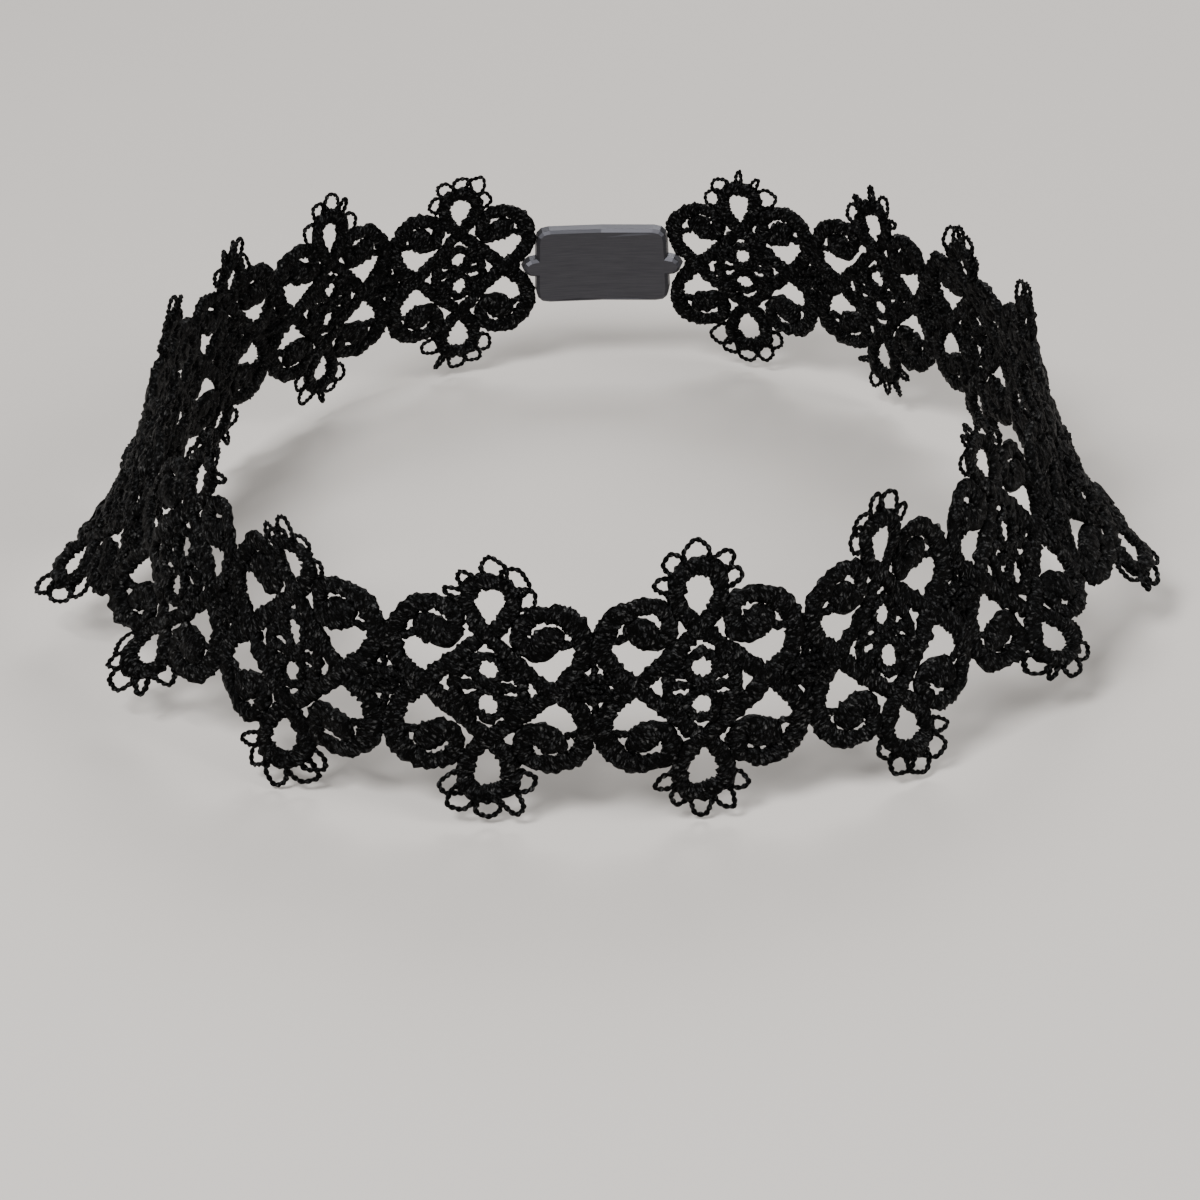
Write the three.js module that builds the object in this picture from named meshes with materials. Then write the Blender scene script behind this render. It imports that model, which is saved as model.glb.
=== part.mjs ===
// A lace choker: one row of pierced lace motifs that stands round a neck as a flared loop.
// Padded satin bars join each motif to the next, and a plain clasp closes the loop at the back.
// Millimetres. +Z runs up the neck, the front of the choker looks along -Y, and the origin is
// the middle of the neck at the band's mid-height.

import * as THREE from 'three';
import { TessellateModifier } from 'three/addons/modifiers/TessellateModifier.js';
import { mergeGeometries } from 'three/addons/utils/BufferGeometryUtils.js';

// The row of motifs
const motifCount = 16;
const motifPitch = 23.5;
const laceHeight = 33;
const laceThickness = 1.6;
const pieceGap = 0.3;

// Teardrop loops with picots, at the top and the bottom of each motif
const teardropWidth = 3.5;
const teardropLength = 5;
const teardropCord = 1.65;
const picotDiameter = 2.5;
const picotSpacing = 38.5;

// Scroll lobes, two above and two below the waist where the cords cross. A lobe parts from its
// neighbour's so far from the waist, runs straight along it, and rises to a crest so far
// short of the teardrop's centre
const waistLevel = -0.1;
const lobeParting = 3.1;
const lobeSideRun = 1.2;
const lobeCrest = 6.2;
const upperLobeDrop = 0.5;
const lowerLobeDrop = 0.3;
const lobeSquareness = 0.8;
const lobeFootAngle = 112;

// The two round eyes of the middle medallion
const eyeDiameter = 2.2;
const eyeSpacing = 4.4;

// Padded bars between the motifs, and the open notch round each of them
const barLength = 4.8;
const barHeight = 2.9;
const barThickness = 2.2;
const notchHeight = 4.2;

// Clasp: a plate as long as the stretch it closes, with a tongue into the last notch at each end
const claspLength = 20;
const claspHeight = 12;
const claspThickness = 2.2;
const claspCorner = 2;
const claspEdge = 0.4;
const tongueFullness = 0.8;

// The neck loop: front and back depth over half the width, the rise of the sides over the
// front and back, and the turn of the row round the neck
const frontDepthRatio = 1.05;
const backDepthRatio = 1.06;
const sideRise = 3.8;
const loopTurn = 0.8;

// How much narrower the back of the loop is, as a share of half the width, and where it
// narrows, from -1 at the front over 0 at the sides to 1 at the back
const backNarrowing = 0.11;
const narrowingStart = -0.3;
const narrowingEnd = 0.15;

// How far the band leans out at its foot, in degrees from upright, and how much of the
// change from front to side comes early
const frontLean = 4.7;
const sideLean = 38;
const backLean = 9;
const earlyLean = 0.48;

// Where the band comes upright again behind the sides, as shares of half the loop's length
const leanFadeStart = 0.42;
const leanFadeEnd = 0.54;

// How far the band's mid-height sinks in towards the neck at the sides
const sideHollow = 2.5;

// The longest straight edge that is laid along the curved band
const facetLength = 8;

// Corners closer than this to a motif's middle line are on it
const middleTolerance = 0.001;

// The opening inside a lobe, as shares: across of half the pitch, and up from the waist to
// the lobe's reach
const lobeOpening = [
  { across: 0.85, up: 0.43 },
  { across: 0.775, up: 0.52 },
  { across: 0.66, up: 0.505 },
  { across: 0.49, up: 0.475 },
  { across: 0.33, up: 0.43 },
  { across: 0.475, up: 0.28 },
  { across: 0.61, up: 0.115 },
  { across: 0.73, up: 0.165 },
  { across: 0.83, up: 0.3 },
];

// The loop that the band's mid-height follows, from the front round by the right
class NeckLoop extends THREE.Curve {
  constructor(halfWidth) {
    super();
    this.halfWidth = halfWidth;
    this.arcLengthDivisions = 720;
  }

  getPoint(share, target = new THREE.Vector3()) {
    const turn = 2 * Math.PI * share;
    const ratio = Math.cos(turn) > 0 ? frontDepthRatio : backDepthRatio;
    const behind = THREE.MathUtils.smoothstep(-Math.cos(turn), narrowingStart, narrowingEnd);
    return target.set(
      this.halfWidth * (1 - backNarrowing * behind) * Math.sin(turn),
      -this.halfWidth * ratio * Math.cos(turn),
      -sideRise / 2 * Math.cos(2 * turn),
    );
  }
}

// The loop is as long as its motifs and its clasp together
const loopLength = motifCount * motifPitch + claspLength;
const roundLoop = new NeckLoop(loopLength / (2 * Math.PI));
const loop = new NeckLoop(roundLoop.halfWidth * loopLength / roundLoop.getLength());

// The band's directions at a length along the loop from its front: along, up and facing out
function bandAt(along) {
  const lengthShare = THREE.MathUtils.euclideanModulo((along + loopTurn) / loopLength, 1);
  const turnShare = loop.getUtoTmapping(lengthShare);
  const sideways = Math.sin(2 * Math.PI * turnShare) ** 2;
  const rise = earlyLean * sideways + (1 - earlyLean) * sideways ** 2;
  const fromFront = 2 * Math.min(lengthShare, 1 - lengthShare);
  const fade = THREE.MathUtils.smoothstep(fromFront, leanFadeStart, leanFadeEnd);
  const frontHalfLean = THREE.MathUtils.lerp(frontLean, sideLean, rise);
  const lean = THREE.MathUtils.degToRad(THREE.MathUtils.lerp(frontHalfLean, backLean, fade));
  const tangent = loop.getTangent(turnShare);
  const outward = new THREE.Vector3(tangent.y, -tangent.x, 0).normalize();
  const level = new THREE.Vector3(-outward.y, outward.x, 0);
  const up = new THREE.Vector3(0, 0, Math.cos(lean)).addScaledVector(outward, -Math.sin(lean));
  const facing = new THREE.Vector3().crossVectors(level, up);
  const hollow = sideHollow * sideways ** 2 * (1 - fade);
  return { point: loop.getPoint(turnShare), level, up, facing, hollow };
}

// A flat geometry, x along the band, y up it and z out of it, becomes a mesh in its place:
// its edges are cut short enough to bend, and it is laid on the band about the given length
function placeOnBand(name, flatGeometry, material, along) {
  const geometry = new TessellateModifier(facetLength).modify(flatGeometry);
  const position = geometry.getAttribute('position');
  for (let index = 0; index < position.count; index += 1) {
    const band = bandAt(along + position.getX(index));
    const height = position.getY(index);
    const sunk = band.hollow * (1 - (2 * height / laceHeight) ** 2);
    band.point.addScaledVector(band.up, height);
    band.point.addScaledVector(band.facing, position.getZ(index) - sunk);
    position.setXYZ(index, band.point.x, band.point.y, band.point.z);
  }
  const middle = bandAt(along);
  const seat = new THREE.Matrix4().makeBasis(middle.level, middle.up, middle.facing);
  seat.setPosition(middle.point);
  geometry.applyMatrix4(seat.clone().invert());
  geometry.computeVertexNormals();
  const mesh = new THREE.Mesh(geometry, material);
  mesh.name = name;
  mesh.applyMatrix4(seat);
  return mesh;
}

// A flat shape becomes a plate about the band's middle surface
function plate(shape, thickness, edge = 0) {
  const geometry = new THREE.ExtrudeGeometry(shape, {
    depth: thickness - 2 * edge,
    steps: 1,
    curveSegments: 3,
    bevelEnabled: edge > 0,
    bevelThickness: edge,
    bevelSize: edge,
    bevelOffset: -edge,
    bevelSegments: 1,
  });
  return geometry.translate(0, 0, edge - thickness / 2);
}

// Points on an arc, angles in degrees clockwise from straight up
function arcPoints(centre, radius, angles) {
  return angles.map((angle) => {
    const turn = THREE.MathUtils.degToRad(angle);
    return new THREE.Vector2(
      centre.x + radius * Math.sin(turn),
      centre.y + radius * Math.cos(turn),
    );
  });
}

const teardropOuterRadius = teardropWidth / 2 + teardropCord;
const teardropCentre = new THREE.Vector2(0, laceHeight / 2 - picotDiameter - teardropOuterRadius);
const upperLobeReach = teardropCentre.y - upperLobeDrop;
const lowerLobeReach = teardropCentre.y - lowerLobeDrop;
const notchDepth = barLength / 2 + pieceGap;

// Half of the teardrop loop's outer edge: two picots up its right side and half of the
// middle one, as far as its tip
function picotEdge() {
  const seatRadius = teardropOuterRadius + picotDiameter / 2;
  const points = [];
  for (const place of [2, 1, 0]) {
    const lean = place * picotSpacing;
    const [centre] = arcPoints(teardropCentre, seatRadius, [lean]);
    const turns = place > 0 ? [75, 25, -25, -75] : [75, 30, 0];
    points.push(...arcPoints(centre, picotDiameter / 2, turns.map((turn) => lean + turn)));
    if (place > 0) {
      points.push(...arcPoints(teardropCentre, teardropOuterRadius, [lean - picotSpacing / 2]));
    }
  }
  return points;
}

// A quarter of the motif's outer edge, from the notch at the waist round the lobe and up to
// the middle picot, as if it lay at the upper right
function quarterEdge(lobeReach, waist) {
  const side = (motifPitch - pieceGap) / 2;
  const sideTop = waist + lobeParting + lobeSideRun;
  const notch = [30, 60].map((turn) => THREE.MathUtils.degToRad(turn)).map((turn) => (
    new THREE.Vector2(
      motifPitch / 2 - notchDepth * Math.cos(turn),
      waist + notchHeight / 2 * Math.sin(turn),
    )
  ));
  const lobe = [0, 24, 45, 66, 90].map((turn) => THREE.MathUtils.degToRad(turn)).map((turn) => (
    new THREE.Vector2(
      lobeCrest + (side - lobeCrest) * Math.cos(turn) ** lobeSquareness,
      sideTop + (lobeReach - sideTop) * Math.sin(turn) ** lobeSquareness,
    )
  ));
  const foot = arcPoints(teardropCentre, teardropOuterRadius, [lobeFootAngle]);
  const shoulder = new THREE.Vector2(side, waist + lobeParting);
  return [...notch, shoulder, ...lobe, ...foot, ...picotEdge()];
}

// A quarter of the motif's middle line from the top down, round the right edges of the
// teardrop's hole and the eye: an arc closed by a tangent to a point, and a half circle
function quarterMiddle() {
  const radius = teardropWidth / 2;
  const tangentTurn = THREE.MathUtils.radToDeg(Math.acos(radius / (teardropLength - radius)));
  const sweep = 180 - tangentTurn;
  const hole = arcPoints(teardropCentre, radius, [0, 0.27, 0.52, 0.76, 1].map((share) => share * sweep));
  const point = new THREE.Vector2(0, teardropCentre.y + radius - teardropLength);
  const eyeCentre = new THREE.Vector2(0, eyeSpacing / 2);
  const eye = arcPoints(eyeCentre, eyeDiameter / 2, [0, 45, 90, 135, 180]);
  return [...hole, point, ...eye];
}

// The opening inside the upper or lower right lobe
function lobeHole(up) {
  const reach = up > 0 ? upperLobeReach : lowerLobeReach;
  const height = reach - up * waistLevel;
  return new THREE.Path(lobeOpening.map((row) => new THREE.Vector2(
    row.across * motifPitch / 2,
    waistLevel + up * row.up * height,
  )));
}

// The right half of the motif: its outer edge from the bottom up, then down its middle line
function halfMotifShape() {
  const below = (points) => points.map((point) => new THREE.Vector2(point.x, -point.y)).reverse();
  const shape = new THREE.Shape([
    ...below(quarterEdge(lowerLobeReach, -waistLevel)),
    new THREE.Vector2(motifPitch / 2 - notchDepth, waistLevel),
    ...quarterEdge(upperLobeReach, waistLevel),
    ...quarterMiddle(),
    ...below(quarterMiddle()),
  ]);
  shape.holes.push(lobeHole(1), lobeHole(-1));
  return shape;
}

// A motif is its right half and the mirror image of it, without the walls between them
function motifGeometry() {
  const half = plate(halfMotifShape(), laceThickness);
  const flat = half.getAttribute('position');
  const corners = [];
  for (let start = 0; start < flat.count; start += 3) {
    const triangle = [0, 1, 2].map((step) => new THREE.Vector3().fromBufferAttribute(flat, start + step));
    if (triangle.some((corner) => corner.x > middleTolerance)) {
      corners.push(...triangle);
    }
  }
  const right = new THREE.BufferGeometry().setFromPoints(corners);
  const mirrored = corners.map((corner) => new THREE.Vector3(-corner.x, corner.y, corner.z));
  const left = new THREE.BufferGeometry().setFromPoints(mirrored.reverse());
  return mergeGeometries([right, left]);
}

// A padded bar is a flattened oval that lies along the band at the waist
function barGeometry() {
  const geometry = new THREE.SphereGeometry(0.5, 8, 6).toNonIndexed();
  geometry.scale(barLength, barHeight, barThickness);
  return geometry.translate(0, waistLevel, 0);
}

// The clasp's plate, with rounded corners and half a bar's oval as a tongue at each end
function claspShape() {
  const half = (claspLength - pieceGap) / 2;
  const halfHeight = claspHeight / 2;
  const tongue = barLength / 2 - pieceGap;
  const shape = new THREE.Shape();
  for (const side of [1, -1]) {
    const outer = side * half;
    const inner = side * (half - claspCorner);
    const low = -side * halfHeight;
    const corner = side * claspCorner;
    if (side > 0) {
      shape.moveTo(inner, low);
    } else {
      shape.lineTo(inner, low);
    }
    shape.quadraticCurveTo(outer, low, outer, low + corner);
    shape.lineTo(outer, waistLevel - side * barHeight / 2);
    shape.quadraticCurveTo(
      outer + side * tongue * tongueFullness, waistLevel - side * barHeight / 2,
      outer + side * tongue, waistLevel,
    );
    shape.quadraticCurveTo(
      outer + side * tongue * tongueFullness, waistLevel + side * barHeight / 2,
      outer, waistLevel + side * barHeight / 2,
    );
    shape.lineTo(outer, -low - corner);
    shape.quadraticCurveTo(outer, -low, inner, -low);
  }
  return shape;
}

const thread = () => new THREE.MeshStandardMaterial({ color: 0x0e0e10, roughness: 0.8, metalness: 0 });
const metal = () => new THREE.MeshStandardMaterial({ color: 0x46464a, roughness: 0.35, metalness: 1 });

const choker = new THREE.Group();
const firstMotif = -(motifCount - 1) / 2 * motifPitch;
for (let index = 0; index < motifCount; index += 1) {
  const number = String(index + 1).padStart(2, '0');
  const along = firstMotif + index * motifPitch;
  choker.add(placeOnBand(`lace_motif_${number}`, motifGeometry(), thread(), along));
  if (index < motifCount - 1) {
    choker.add(placeOnBand(`joining_bar_${number}`, barGeometry(), thread(), along + motifPitch / 2));
  }
}
const claspPlate = plate(claspShape(), claspThickness, claspEdge);
choker.add(placeOnBand('clasp', claspPlate, metal(), loopLength / 2));

export default choker;
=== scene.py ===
# %% [markdown]
# # A black guipure lace choker
#
# Guipure is lace without a net behind it. A machine stitches heavy cords on to a sheet that is
# later washed away, and only the cords stay, each one held by the cords that it touches.
# So this lesson draws cords, not a surface with holes: every opening in the lace is simply a
# place that no cord goes through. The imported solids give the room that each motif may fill.

import bpy
import numpy as np
from mathutils import Matrix, Vector


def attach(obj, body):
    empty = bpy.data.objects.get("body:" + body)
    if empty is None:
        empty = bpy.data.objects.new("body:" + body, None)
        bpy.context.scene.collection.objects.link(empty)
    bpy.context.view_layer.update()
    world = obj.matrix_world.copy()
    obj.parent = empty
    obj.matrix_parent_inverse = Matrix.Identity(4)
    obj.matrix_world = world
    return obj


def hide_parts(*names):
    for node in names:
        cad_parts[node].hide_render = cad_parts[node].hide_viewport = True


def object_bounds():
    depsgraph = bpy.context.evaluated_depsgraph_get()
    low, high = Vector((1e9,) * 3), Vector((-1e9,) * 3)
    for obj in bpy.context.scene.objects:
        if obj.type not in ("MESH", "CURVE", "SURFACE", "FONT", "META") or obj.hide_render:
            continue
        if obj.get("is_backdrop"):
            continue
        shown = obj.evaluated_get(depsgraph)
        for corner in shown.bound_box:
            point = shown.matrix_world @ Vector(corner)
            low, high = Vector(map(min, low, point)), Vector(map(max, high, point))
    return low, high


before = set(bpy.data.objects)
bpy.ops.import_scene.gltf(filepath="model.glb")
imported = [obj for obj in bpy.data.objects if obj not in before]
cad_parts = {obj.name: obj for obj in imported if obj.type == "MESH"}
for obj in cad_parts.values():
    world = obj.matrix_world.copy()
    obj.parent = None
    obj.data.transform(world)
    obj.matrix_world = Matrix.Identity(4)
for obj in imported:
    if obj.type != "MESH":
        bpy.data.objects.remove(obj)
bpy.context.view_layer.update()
print("packed nodes:", len(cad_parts))

# %% [markdown]
# ## The neck loop
#
# A ring of lace could be bent with a curve modifier, but a formula keeps every cord exactly on
# the same flared band as the solids. The loop is an oval whose sides sit higher than its front
# and back, and behind the sides it is narrower. The band leans out at its foot, most at the
# sides, where it is also hollow at mid-height, as the foot of a neck is. Behind them it comes
# upright again.

# %% Sizes of the row, in millimetres and degrees
MM = 0.001
MOTIF_COUNT = 16
MOTIF_PITCH = 23.5
CLASP_LENGTH = 20.0
LOOP_LENGTH = MOTIF_COUNT * MOTIF_PITCH + CLASP_LENGTH
FRONT_DEPTH, BACK_DEPTH = 1.05, 1.06
BACK_NARROWING, NARROWING_START, NARROWING_END = 0.11, -0.3, 0.15
SIDE_RISE, LOOP_TURN = 3.8, 0.8
LACE_HEIGHT, SIDE_HOLLOW = 33.0, 2.5
FRONT_LEAN, SIDE_LEAN, BACK_LEAN, EARLY_LEAN = 4.7, 38.0, 9.0, 0.48
LEAN_FADE_START, LEAN_FADE_END = 0.42, 0.54
print("loop length:", LOOP_LENGTH, "mm")


# %% A point of the loop, and the true size of the oval
def smooth_step(value, start, end):
    """0 before the start, 1 after the end, and 3 t^2 - 2 t^3 of the share t between them."""
    share = np.clip((value - start) / (end - start), 0, 1)
    return share**2 * (3 - 2 * share)


def loop_point(half_width, share):
    """x is the half width times the sine of the turn, less a share that grows by a smooth
    step behind the sides. y is the half width and the depth ratio times minus the cosine, and
    z falls and rises twice with the cosine of twice the turn."""
    turn = 2 * np.pi * share
    depth = np.where(np.cos(turn) > 0, FRONT_DEPTH, BACK_DEPTH)
    behind = smooth_step(-np.cos(turn), NARROWING_START, NARROWING_END)
    across = half_width * (1 - BACK_NARROWING * behind) * np.sin(turn)
    ahead = -half_width * depth * np.cos(turn)
    return np.stack([across, ahead, -SIDE_RISE / 2 * np.cos(2 * turn)], -1)


SHARES = np.linspace(0, 1, 1441)


def loop_lengths(half_width):
    """The length run from the front to each share: the steps between points, added up."""
    steps = np.linalg.norm(np.diff(loop_point(half_width, SHARES), axis=0), axis=1)
    return np.concatenate([[0], np.cumsum(steps)])


round_half_width = LOOP_LENGTH / (2 * np.pi)
HALF_WIDTH = round_half_width * LOOP_LENGTH / loop_lengths(round_half_width)[-1]
LENGTHS = loop_lengths(HALF_WIDTH)
print("half width of the loop: %.2f mm" % HALF_WIDTH)


# %% The band's directions, and laying flat lace on it
def band_at(along):
    """Middle point, up and facing directions, and the hollow. The lean is a blend of the
    front's and the side's by the square and fourth power of the sine of the turn, and fades
    to the back's lean by a smooth step of the length's share. The hollow grows with the
    fourth power of the sine and fades out in the same way."""
    share = ((along + LOOP_TURN) / LOOP_LENGTH) % 1
    turn_share = np.interp(share * LENGTHS[-1], LENGTHS, SHARES)
    side = np.sin(2 * np.pi * turn_share) ** 2
    rise = EARLY_LEAN * side + (1 - EARLY_LEAN) * side**2
    from_front = 2 * np.minimum(share, 1 - share)
    fade = smooth_step(from_front, LEAN_FADE_START, LEAN_FADE_END)
    front_half = FRONT_LEAN + (SIDE_LEAN - FRONT_LEAN) * rise
    lean = np.radians(front_half + (BACK_LEAN - front_half) * fade)[..., None]
    ahead = loop_point(HALF_WIDTH, turn_share + 1e-4)
    tangent = ahead - loop_point(HALF_WIDTH, turn_share - 1e-4)
    flat = np.zeros_like(tangent[..., 0])
    outward = np.stack([tangent[..., 1], -tangent[..., 0], flat], -1)
    outward /= np.linalg.norm(outward, axis=-1, keepdims=True)
    level = np.stack([-outward[..., 1], outward[..., 0], flat], -1)
    up = np.array([0.0, 0.0, 1.0]) * np.cos(lean) - outward * np.sin(lean)
    hollow = (SIDE_HOLLOW * side**2 * (1 - fade))[..., None]
    return loop_point(HALF_WIDTH, turn_share), up, np.cross(level, up), hollow


def lay_on_band(centre, flat):
    """Flat lace has x along the band, y up it and z out of it. A point goes to the band's
    middle at its own x, plus its y along up and its z along facing, in metres. It sinks in by
    the hollow, times one minus the square of its share of half the lace's height."""
    middle, up, facing, hollow = band_at(centre + flat[:, 0])
    sunk = hollow * (1 - (2 * flat[:, 1:2] / LACE_HEIGHT) ** 2)
    return (middle + up * flat[:, 1:2] + facing * (flat[:, 2:3] - sunk)) * MM


# %% [markdown]
# ## A stitched cord
#
# A cord of guipure is a bundle of padding threads that is sewn over and over with cross
# stitches. Bump alone would leave its edge smooth, and the edge is what shows against the
# light, so the stitches are real ridges. A flat oval section is carried along a smooth line,
# and it swells in the middle of each stitch and sinks where two stitches meet. Real stitches
# never lie evenly, so every point of the cord also moves in or out by a small random knot, a
# little more at the cord's two edges, and the outline comes out ragged.

# %% A smooth line through a table's rows
SECTION_SIDES, SECTION_SQUARENESS = 16, 0.85
CORD_STEP, FEWEST_STEPS, ROW_PARTS = 0.25, 6, 16
STITCH_PITCH, FEWEST_STITCHES, STITCH_SLANT = 0.9, 3, 0.5
RIDGE_DEPTH, RIDGE_POWER, MEAN_RIDGE = 0.05, 0.6, 0.73
KNOT_HEIGHT, KNOT_LIMIT, EDGE_KNOTS = 0.11, 2.2, 0.35
KNOT_SHARE_ALONG, KNOT_SHARE_ROUND = 0.3, 0.15
BLUNTEST_END = 0.05
PLACE_SPREAD = 100


def smooth_rows(rows, step, closed=False):
    """Between two rows a cubic blend of the four nearest rows, column by column. The result
    is read again at equal steps of its length, so that stitches come out even."""
    rows = np.asarray(rows, float)
    if closed:
        before, after, last = np.roll(rows, 1, 0), np.roll(rows, -1, 0), np.roll(rows, -2, 0)
    else:
        ends = np.vstack([2 * rows[:1] - rows[1:2], rows, 2 * rows[-1:] - rows[-2:-1]])
        before, rows, after, last = ends[:-3], ends[1:-2], ends[2:-1], ends[3:]
    t = np.linspace(0, 1, ROW_PARTS, endpoint=False)[None, :, None]
    a, b, c, d = (part[:, None, :] for part in (before, rows, after, last))
    fine = 0.5 * (2 * b + (c - a) * t + (2 * a - 5 * b + 4 * c - d) * t**2
                  + (3 * b - a - 3 * c + d) * t**3)
    fine = np.vstack([fine.reshape(-1, rows.shape[1]), after[-1:]])
    run = np.concatenate([[0], np.cumsum(np.hypot(*np.diff(fine[:, :2], axis=0).T))])
    count = max(FEWEST_STEPS, int(round(run[-1] / step)))
    places = np.linspace(0, run[-1], count + 1)
    if closed:
        places = places[:-1]
    return np.stack([np.interp(places, run, column) for column in fine.T], 1), run[-1]


# %% The cord itself
def grid_faces(rows, sides, closed):
    """Squares between each ring and the next, and between each side and the next one round."""
    ring = np.arange(rows if closed else rows - 1)[:, None]
    side = np.arange(sides)[None, :]
    after, beside = (ring + 1) % rows, (side + 1) % sides
    corners = [ring * sides + side, after * sides + side,
               after * sides + beside, ring * sides + beside]
    return np.stack(corners, -1).reshape(-1, 4)


def end_fans(rows, sides):
    """A fan of triangles from a pole to the first ring, and one to the last ring."""
    side = np.arange(sides)
    beside = (side + 1) % sides
    first, last = rows * sides, rows * sides + 1
    start = np.stack([np.full(sides, first), side, beside], 1)
    base = (rows - 1) * sides
    end = np.stack([np.full(sides, last), base + beside, base + side], 1)
    return np.vstack([start, end])


def knot_heights(count, sides, rng):
    """Random heights on the cord's grid. A share of its neighbours along and round the cord is
    added to each, so that a knot is about two points wide. Their spread is scaled to the knot
    height, and none is more than the limit times that."""
    heights = rng.normal(0, 1, (count, sides))
    for axis, share in ((0, KNOT_SHARE_ALONG), (1, KNOT_SHARE_ROUND)):
        heights = heights + share * (np.roll(heights, 1, axis) + np.roll(heights, -1, axis))
    return KNOT_HEIGHT * np.clip(heights / heights.std(), -KNOT_LIMIT, KNOT_LIMIT)


def stitched_cord(rows, rng, closed=False):
    """rows hold x, y, width, lift and height. The section is a squarish oval: a point lies
    half the width times a power of the angle's cosine sideways, and half the height times that
    power of its sine out. Both sizes are scaled by 1 plus the ridge depth times the ridge less
    its mean, where the ridge is a power of the sine of pi times the stitch count, and a knot
    height is added to both. An open cord is rounded off at its ends by a quarter circle. The
    place of a point is where it would lie if the cord were straight, for the finish. It starts
    at a random length, so that no two cords show the same threads."""
    line, length = smooth_rows(rows, CORD_STEP, closed)
    count = len(line)
    if closed:
        ahead = np.roll(line[:, :2], -1, 0) - np.roll(line[:, :2], 1, 0)
    else:
        ahead = np.gradient(line[:, :2], axis=0)
    ahead /= np.linalg.norm(ahead, axis=1, keepdims=True)
    sideways = np.stack([-ahead[:, 1], ahead[:, 0]], 1)
    angle = 2 * np.pi * np.arange(SECTION_SIDES) / SECTION_SIDES
    cos, sin = np.cos(angle)[None, :], np.sin(angle)[None, :]
    run = np.linspace(0, length, count, endpoint=not closed)[:, None]
    stitches = max(FEWEST_STITCHES, int(round(length / STITCH_PITCH)))
    phase = run / length * stitches + 0.5 * (cos > 0) + STITCH_SLANT * np.abs(cos)
    ridge = np.abs(np.sin(np.pi * phase)) ** RIDGE_POWER
    knots = knot_heights(count, SECTION_SIDES, rng) * (1 + EDGE_KNOTS * cos**2)
    swell = 1 - RIDGE_DEPTH * (MEAN_RIDGE - ridge)
    if not closed:
        from_end = np.clip(np.minimum(run, length - run) / (0.5 * line[:, 2:3]), 0, 1)
        taper = np.sqrt(np.clip(1 - (1 - from_end) ** 2, BLUNTEST_END, 1))
        swell = swell * taper
        knots = knots * taper
    wide = np.sign(cos) * np.abs(cos) ** SECTION_SQUARENESS
    high = np.sign(sin) * np.abs(sin) ** SECTION_SQUARENESS
    across = (0.5 * line[:, 2:3] * swell + knots) * wide
    out = line[:, 3:4] + (0.5 * line[:, 4:5] * swell + knots) * high
    x = line[:, 0:1] + sideways[:, 0:1] * across
    y = line[:, 1:2] + sideways[:, 1:2] * across
    points = np.stack([x, y, out], -1).reshape(-1, 3)
    along = np.broadcast_to(run + rng.uniform(0, PLACE_SPREAD), across.shape)
    place = np.stack([along, across, out], -1).reshape(-1, 3)
    quads = grid_faces(count, SECTION_SIDES, closed)
    fans = np.zeros((0, 3), int)
    if not closed:
        poles = np.array([[*line[0, :2], line[0, 3]], [*line[-1, :2], line[-1, 3]]])
        points = np.vstack([points, poles])
        place = np.vstack([place, [along[0, 0], 0, 0], [along[-1, 0], 0, 0]])
        fans = end_fans(count, SECTION_SIDES)
    return {"points": points, "quads": quads, "fans": fans, "place": place}


# %% [markdown]
# ## Picots
#
# The little loops round each teardrop are a different thread: two plies twisted together,
# thin and springy. They could be one thin tube with a bump, but at this size the twist shows
# in the outline, so each ply is a tube of its own that winds round the loop's line.
# Real picots turn and kink as they please, and some stand almost edge on, so each has its own
# plane and its own waves. The motifs that face the front have a row for each picot, with its
# angle, half width and reach. The others draw theirs at random.

# %% Two twisted plies along a loop
PLY_RADIUS, PLY_SIDES = 0.2, 5
PLY_LAY, PLY_OFFSET = 1.5, 0.65
PLY_STEP, FEWEST_PLY_RINGS = 0.17, 8
FOOT_SWELL, FOOT_LENGTH = 0.45, 0.8


def twisted_plies(line, normal):
    """line is a run of points in one plane with that normal. Each ply's centre lies a part of
    the ply's radius from the line, at an angle that makes one turn for each lay length, and
    its round section is set out along the loop's side direction and the normal. Near the feet
    the plies are thicker by a bell curve, where they are caught under the stitches. For the
    finish a ply's place is simply where it lies."""
    run = np.concatenate([[0], np.cumsum(np.linalg.norm(np.diff(line, axis=0), axis=1))])
    count = max(FEWEST_PLY_RINGS, int(round(run[-1] / PLY_STEP)))
    places = np.linspace(0, run[-1], count)
    centre = np.stack([np.interp(places, run, column) for column in line.T], 1)
    ahead = np.gradient(centre, axis=0)
    ahead /= np.linalg.norm(ahead, axis=1, keepdims=True)
    side = np.cross(normal, ahead)
    angle = 2 * np.pi * np.arange(PLY_SIDES) / PLY_SIDES
    from_foot = np.minimum(places, run[-1] - places)
    radius = PLY_RADIUS * (1 + FOOT_SWELL * np.exp(-((from_foot / FOOT_LENGTH) ** 2)))[:, None]
    parts = []
    for start in (0.0, np.pi):
        turn = 2 * np.pi * places / PLY_LAY + start
        ply = centre + PLY_OFFSET * radius * (
            np.cos(turn)[:, None] * side + np.sin(turn)[:, None] * normal)
        ring = radius[:, None] * (np.cos(angle)[None, :, None] * side[:, None, :]
                                  + np.sin(angle)[None, :, None] * normal)
        points = (ply[:, None, :] + ring).reshape(-1, 3)
        points = np.vstack([points, ply[:1], ply[-1:]])
        parts.append({"points": points, "quads": grid_faces(count, PLY_SIDES, False)[:, ::-1],
                      "fans": end_fans(count, PLY_SIDES)[:, ::-1], "place": points.copy()})
    return parts


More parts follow.
